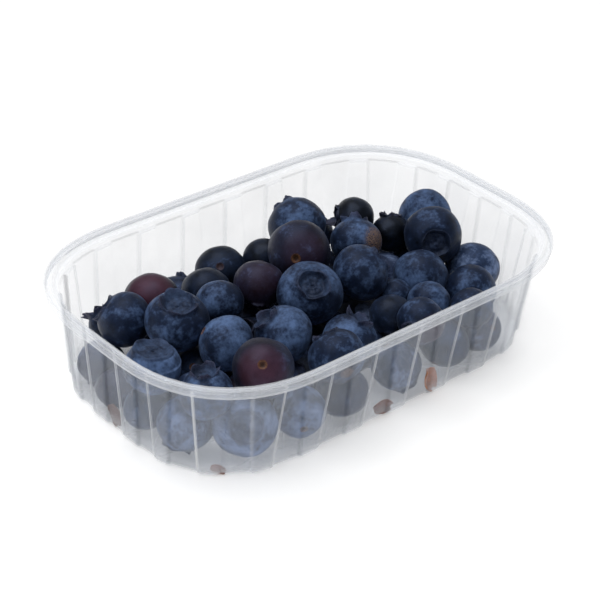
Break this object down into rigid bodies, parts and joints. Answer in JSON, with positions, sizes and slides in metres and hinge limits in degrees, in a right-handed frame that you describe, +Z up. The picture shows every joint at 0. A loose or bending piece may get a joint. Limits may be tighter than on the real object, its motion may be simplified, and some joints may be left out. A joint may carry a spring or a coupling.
{
  "type": "punnet of blueberries",
  "caption": "Shallow oblong clear plastic punnet with fluted walls and a grooved flange, without its film, heaped with loose blueberries of uneven size.",
  "frame": {"origin": "on the surface that the tray stands on, under the middle of the flange's outline", "axes": "+Z up, +X along the tray's long side, +Y across it; the empty corner of the base is at +X -Y"},
  "size_m": [0.145, 0.0916, 0.0325],
  "materials": {
    "clear_tray_plastic": "thin thermoformed sheet, clear with a slight milky haze, glossy",
    "blueberry_skin": "blue-black fruit skin under a pale waxy bloom, satin where the bloom is rubbed off"
  },
  "bodies": {
    "root": {"punnet": "clear_tray_plastic", "berries": "blueberry_skin"}
  },
  "joints": []
}
